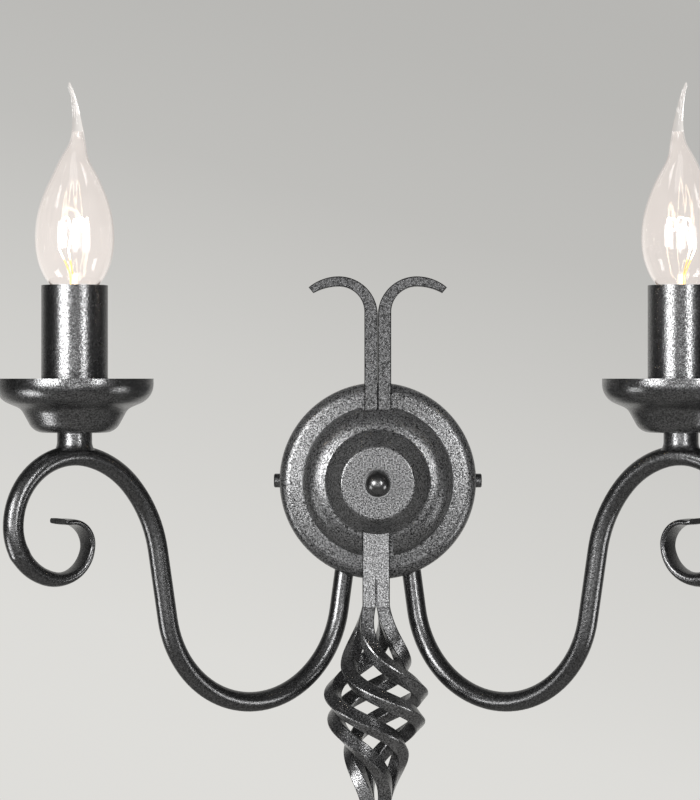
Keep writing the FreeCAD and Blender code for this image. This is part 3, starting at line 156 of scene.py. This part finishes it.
class Finish(Nodes):
    """A new material, whose patterns lie in the piece's own space."""

    def __init__(self, name):
        self.material = bpy.data.materials.new(name)
        self.material.use_nodes = True
        super().__init__(self.material.node_tree)
        self.shader = self.tree.nodes["Principled BSDF"]
        self.place = self.add("ShaderNodeTexCoord").outputs["Object"]

    def set(self, **values):
        """Sets the main shader's sockets by name, with underscores for spaces."""
        for key, value in values.items():
            self.feed(self.shader.inputs[key.replace("_", " ")], value)

    def noise(self, scale, detail=2.0, roughness=0.5, place=None):
        node = self.add("ShaderNodeTexNoise", {
            "Vector": place or self.place,
            "Scale": scale, "Detail": detail, "Roughness": roughness,
        })
        return node.outputs["Fac"]

    def bump(self, height, strength, distance, normal=None):
        node = self.add("ShaderNodeBump", {
            "Height": height, "Strength": strength, "Distance": distance,
        })
        if normal is not None:
            self.feed(node.inputs["Normal"], normal)
        return node.outputs["Normal"]


def black_paint(name="black_paint", tone=1.0, grit=0.7, gloss=0.22, metal=0.9):
    """Black satin stove paint with a metal glint; its sandy grain shows in highlights."""
    f = Finish(name)
    grain = f.noise(GRAIN_SCALE, 2.0, 0.6)
    pebble = f.noise(PEBBLE_SCALE, 2.0)
    patch = f.noise(PATCH_SCALE, 3.0)
    # tone scales the paint's grey; the lit and shaded copies in the table below set it as painted
    # light
    low, high = [PAINT_GREY * tone * (1 + way * GRAIN_CONTRAST * grit) for way in (-1, 1)]
    glint = f.blend(f.ramp(grain, *GRAIN_EDGES), grey(low), grey(high, (1.0, 1.0, 1.01)))
    f.set(Base_Color=glint, Metallic=metal)
    wear = f.combine("ADD", pebble, patch)
    f.set(Roughness=f.ramp(wear, 0.7, 1.3, gloss, gloss + DULLER))
    skin = f.bump(grain, grit, GRAIN_HEIGHT)
    f.set(Normal=f.bump(pebble, PEBBLE_SHARE * grit, PEBBLE_HEIGHT, skin))
    return f.material


def zinc_steel():
    """Zinc plate with a faint spangle and drawing lines."""
    f = Finish("zinc_steel")
    spangle = f.add("ShaderNodeTexVoronoi", {"Vector": f.place, "Scale": 260.0}).outputs["Color"]
    parts = f.add("ShaderNodeSeparateColor", {"Color": spangle})
    drawn = f.add("ShaderNodeVectorMath", {0: f.place, 1: DRAWN_SCALE}, operation="MULTIPLY")
    lines = f.noise(1.0, 3.0, 0.6, drawn.outputs["Vector"])
    flakes = f.combine("MULTIPLY", parts.outputs["Green"], 0.35)
    tone = f.combine("ADD", flakes, f.combine("MULTIPLY", lines, 0.65))
    f.set(Base_Color=f.blend(tone, colour(0.46, 0.47, 0.49), colour(0.72, 0.72, 0.71)))
    f.set(Metallic=1.0, Roughness=f.ramp(tone, 0.2, 0.8, 0.28, 0.46))
    f.set(Normal=f.bump(lines, 0.12, SKIN_HEIGHT))
    return f.material


def brass():
    """Rolled brass, a little dulled."""
    f = Finish("brass")
    stain = f.noise(240.0, 4.0, 0.6)
    lines = f.noise(1500.0, 2.0)
    f.set(Base_Color=f.blend(stain, colour(0.80, 0.60, 0.28), colour(0.55, 0.38, 0.17)))
    f.set(Metallic=1.0, Roughness=f.ramp(stain, *USUAL, 0.24, 0.42))
    f.set(Normal=f.bump(lines, 0.08, SKIN_HEIGHT))
    return f.material


def holder_plastic():
    """Cream moulded plastic with a fine matt skin."""
    f = Finish("holder_plastic")
    cloud = f.noise(90.0, 3.0)
    skin = f.noise(1800.0, 2.0)
    f.set(Base_Color=f.blend(cloud, colour(0.74, 0.71, 0.62), colour(0.83, 0.80, 0.73)))
    f.set(Roughness=f.ramp(skin, *USUAL, 0.42, 0.58))
    f.set(Normal=f.bump(skin, 0.12, SKIN_HEIGHT))
    return f.material


def insulator():
    """Black glass glaze between the foot contact and the cap."""
    f = Finish("insulator")
    flow = f.noise(420.0, 2.0)
    f.set(Base_Color=f.blend(flow, colour(0.012, 0.010, 0.016), colour(0.035, 0.028, 0.045)))
    f.set(Roughness=f.ramp(flow, *USUAL, 0.08, 0.20))
    f.set(Normal=f.bump(flow, 0.2, 0.0002))
    return f.material


def wire(name, first, second):
    """Soft insulation with a faint drawn texture."""
    f = Finish(name)
    cloud = f.noise(150.0, 2.0)
    skin = f.noise(1400.0, 2.0)
    f.set(Base_Color=f.blend(cloud, first, second))
    f.set(Roughness=f.ramp(skin, *USUAL, 0.36, 0.5))
    f.set(Normal=f.bump(skin, 0.1, SKIN_HEIGHT))
    return f.material


def bulb_glass():
    """Clear drawn glass, faintly pink, with a faint painted glow that stands in for the filament's
    light scattered in it.
    """
    f = Finish("bulb_glass")
    draw = f.noise(60.0, 1.0)
    f.set(Base_Color=colour(1.0, 0.985, 0.98), Transmission_Weight=1.0, IOR=1.33)
    f.set(Roughness=f.ramp(draw, *USUAL, 0.0, 0.04))
    f.set(Normal=f.bump(draw, 0.05, 0.001))
    # Painted glow: the glass emits faintly to stand in for the filament's light scattered in it
    f.set(Emission_Color=colour(1.0, 0.84, 0.76))
    f.set(Emission_Strength=f.ramp(draw, *USUAL, 0.058, 0.070))
    return f.material


def stem_glass():
    """Pressed glass that holds the lead wires, with a painted warm glow that stands in for the
    filament's light from above.
    """
    f = Finish("stem_glass")
    flow = f.noise(300.0, 2.0)
    f.set(Base_Color=colour(1.0, 0.97, 0.93), Transmission_Weight=1.0, IOR=1.5)
    f.set(Roughness=f.ramp(flow, 0.4, 0.7, 0.02, 0.15))
    f.set(Normal=f.bump(flow, 0.1, 0.0005))
    # Painted glow: the stem emits to stand in for the filament's light falling on it
    f.set(Emission_Color=colour(1.0, 0.80, 0.50), Emission_Strength=0.25)
    return f.material


def filament():
    """Hot hairpins above, amber lead wires below, with a faint painted amber glow on the wires."""
    f = Finish("filament")
    height = f.add("ShaderNodeSeparateXYZ", {"Vector": f.place}).outputs["Z"]
    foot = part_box("bulb_filament_left")[0].z
    heat = f.ramp(height, foot + HEAT_START, foot + HEAT_FULL)
    grain = f.noise(900.0, 2.0)
    amber = f.blend(grain, colour(0.55, 0.30, 0.06), colour(0.85, 0.55, 0.15))
    f.set(Base_Color=amber, Metallic=1.0, Roughness=f.ramp(grain, *USUAL, 0.25, 0.4))
    # The hairpins are the lamp; the lead wires' weak amber emission is a painted glow
    f.set(Emission_Color=f.blend(heat, colour(1.0, 0.52, 0.10), colour(1.0, 0.86, 0.66)))
    f.set(Emission_Strength=f.ramp(heat, 0.0, 1.0, 0.8, 20.0))
    return f.material


# The black paint has several kinds, each with its own grit and gloss. Their tones are painted
# light: the canopy and strand kinds are lit copies, painted brighter, and the bar and arm kinds
# are shaded copies, painted darker; the canopy's smaller share of metal also brightens its painted
# shade
finishes = {
    "black_paint": black_paint(),
    # Painted light: the canopy and strand copies are painted brighter, the bar and arm copies
    # darker
    "canopy_paint_lit": black_paint("canopy_paint_lit", 1.25, 1.15, 0.25, 0.6),
    "bar_paint_shaded": black_paint("bar_paint_shaded", 0.8, 0.9),
    "arm_paint_shaded": black_paint("arm_paint_shaded", 0.88, 0.6),
    "strand_paint_lit": black_paint("strand_paint_lit", 1.5, 0.9),
    "smooth_paint": black_paint("smooth_paint", 1.0, 0.25),
    "zinc_steel": zinc_steel(),
    "brass": brass(),
    "holder_plastic": holder_plastic(),
    "insulator": insulator(),
    "bulb_glass": bulb_glass(),
    "stem_glass": stem_glass(),
    "filament": filament(),
    "live_wire": wire("live_wire", colour(0.20, 0.085, 0.035), colour(0.30, 0.14, 0.06)),
    "neutral_wire": wire("neutral_wire", colour(0.04, 0.13, 0.42), colour(0.08, 0.20, 0.55)),
    "earth_wire": wire("earth_wire", colour(0.20, 0.46, 0.06), colour(0.55, 0.62, 0.08)),
}
# The nodes that these paints lie on, by how their names start; others take their slot's finish
PAINTS = {
    "canopy_paint_lit": ("canopy_cup", "canopy_dome"),
    "bar_paint_shaded": ("leaf_bar",),
    "arm_paint_shaded": ("arm_",),
    "strand_paint_lit": ("basket_strand", "top_weld", "bottom_weld"),
    "smooth_paint": ("ball_nut", "ball_washer"),
}


def dress():
    """Gives each CAD node its finish."""
    for entry in frame["record"]["subparts"]:
        slot = entry["material_slot"]
        for paint, starts in PAINTS.items():
            if entry["node"].startswith(starts):
                slot = paint
        mesh = frame["nodes"][entry["node"]].data
        mesh.materials.clear()
        mesh.materials.append(finishes[slot])


def stage_floor():
    bpy.ops.mesh.primitive_circle_add(
        vertices=96, radius=FLOOR_RADIUS, fill_type="NGON", location=(0, 0, FLOOR_LEVEL)
    )
    floor = bpy.context.object
    floor.name = "floor"
    f = Finish("floor")
    f.set(Base_Color=f.blend(f.noise(4.0), colour(0.70, 0.69, 0.67), colour(0.76, 0.75, 0.73)))
    f.set(Roughness=0.8)
    floor.data.materials.append(f.material)


def world_light():
    """A pale backdrop for what sees it, and a dimmer room for the light; the lamps do the rest."""
    world = bpy.data.worlds.new("room")
    bpy.context.scene.world = world
    world.use_nodes = True
    world.node_tree.nodes.clear()
    n = Nodes(world.node_tree)
    way = n.add("ShaderNodeTexCoord").outputs["Generated"]
    axes = n.add("ShaderNodeSeparateXYZ", {0: way}).outputs
    ray = n.add("ShaderNodeLightPath").outputs
    glossy = ray["Is Glossy Ray"]

    slope = n.combine("ADD", axes["Z"], n.combine("MULTIPLY", axes["X"], BACKDROP_LEAN))
    span = n.ramp(slope, -BACKDROP_SPAN, BACKDROP_SPAN)
    seen = n.add("ShaderNodeBackground", {
        "Color": n.levels(span, BACKDROP_LEVELS, BACKDROP_TINT),
    })

    room = n.levels(n.ramp(axes["Y"], -1.0, 1.0), ROOM_LEVELS)
    light = n.add("ShaderNodeBackground", {
        "Color": n.blend(glossy, grey(1.0), room),
        "Strength": n.ramp(glossy, 0.0, 1.0, DIFFUSE_STRENGTH, GLOSSY_STRENGTH),
    })

    mirrored = n.combine("MULTIPLY", glossy, n.ramp(axes["Y"], *BACKWARD))
    clear = n.combine("MAXIMUM", ray["Is Camera Ray"], ray["Is Transmission Ray"])
    choice = n.add("ShaderNodeMixShader", {
        0: n.combine("MAXIMUM", clear, mirrored), 1: light.outputs[0], 2: seen.outputs[0],
    })
    n.add("ShaderNodeOutputWorld", {"Surface": choice.outputs[0]})


def lamp(name, azimuth, elevation, distance, width, height, radiance, rays):
    """An area lamp that is aimed at the light's middle."""
    data = bpy.data.lights.new(name, "AREA")
    data.shape = "RECTANGLE"
    data.size, data.size_y = width, height
    data.energy = radiance * width * height * math.pi
    obj = bpy.data.objects.new(name, data)
    bpy.context.scene.collection.objects.link(obj)
    turn, lift = math.radians(azimuth), math.radians(elevation)
    level = math.cos(lift)
    way = Vector((math.sin(turn) * level, -math.cos(turn) * level, math.sin(lift)))
    obj.location = LAMP_AIM + way * distance
    obj.rotation_euler = (-way).to_track_quat("-Z", "Y").to_euler()
    obj.visible_diffuse = rays == "diffuse"
    obj.visible_glossy = rays == "glossy"
    obj.visible_camera = False


def camera():
    data = bpy.data.cameras.new("camera")
    data.lens = CAMERA_LENS
    data.sensor_width = SENSOR_WIDTH
    data.shift_x = -AXIS_RIGHT / PHOTO_HEIGHT
    data.shift_y = -AXIS_UP / PHOTO_HEIGHT
    obj = bpy.data.objects.new("camera", data)
    bpy.context.scene.collection.objects.link(obj)
    obj.location = CAMERA_PLACE
    obj.rotation_euler = (math.pi / 2, 0, 0)
    bpy.context.scene.camera = obj


dress()
stage_floor()
world_light()
for values in LAMPS:
    lamp(*values)
camera()
bpy.context.scene.view_settings.view_transform = "Standard"
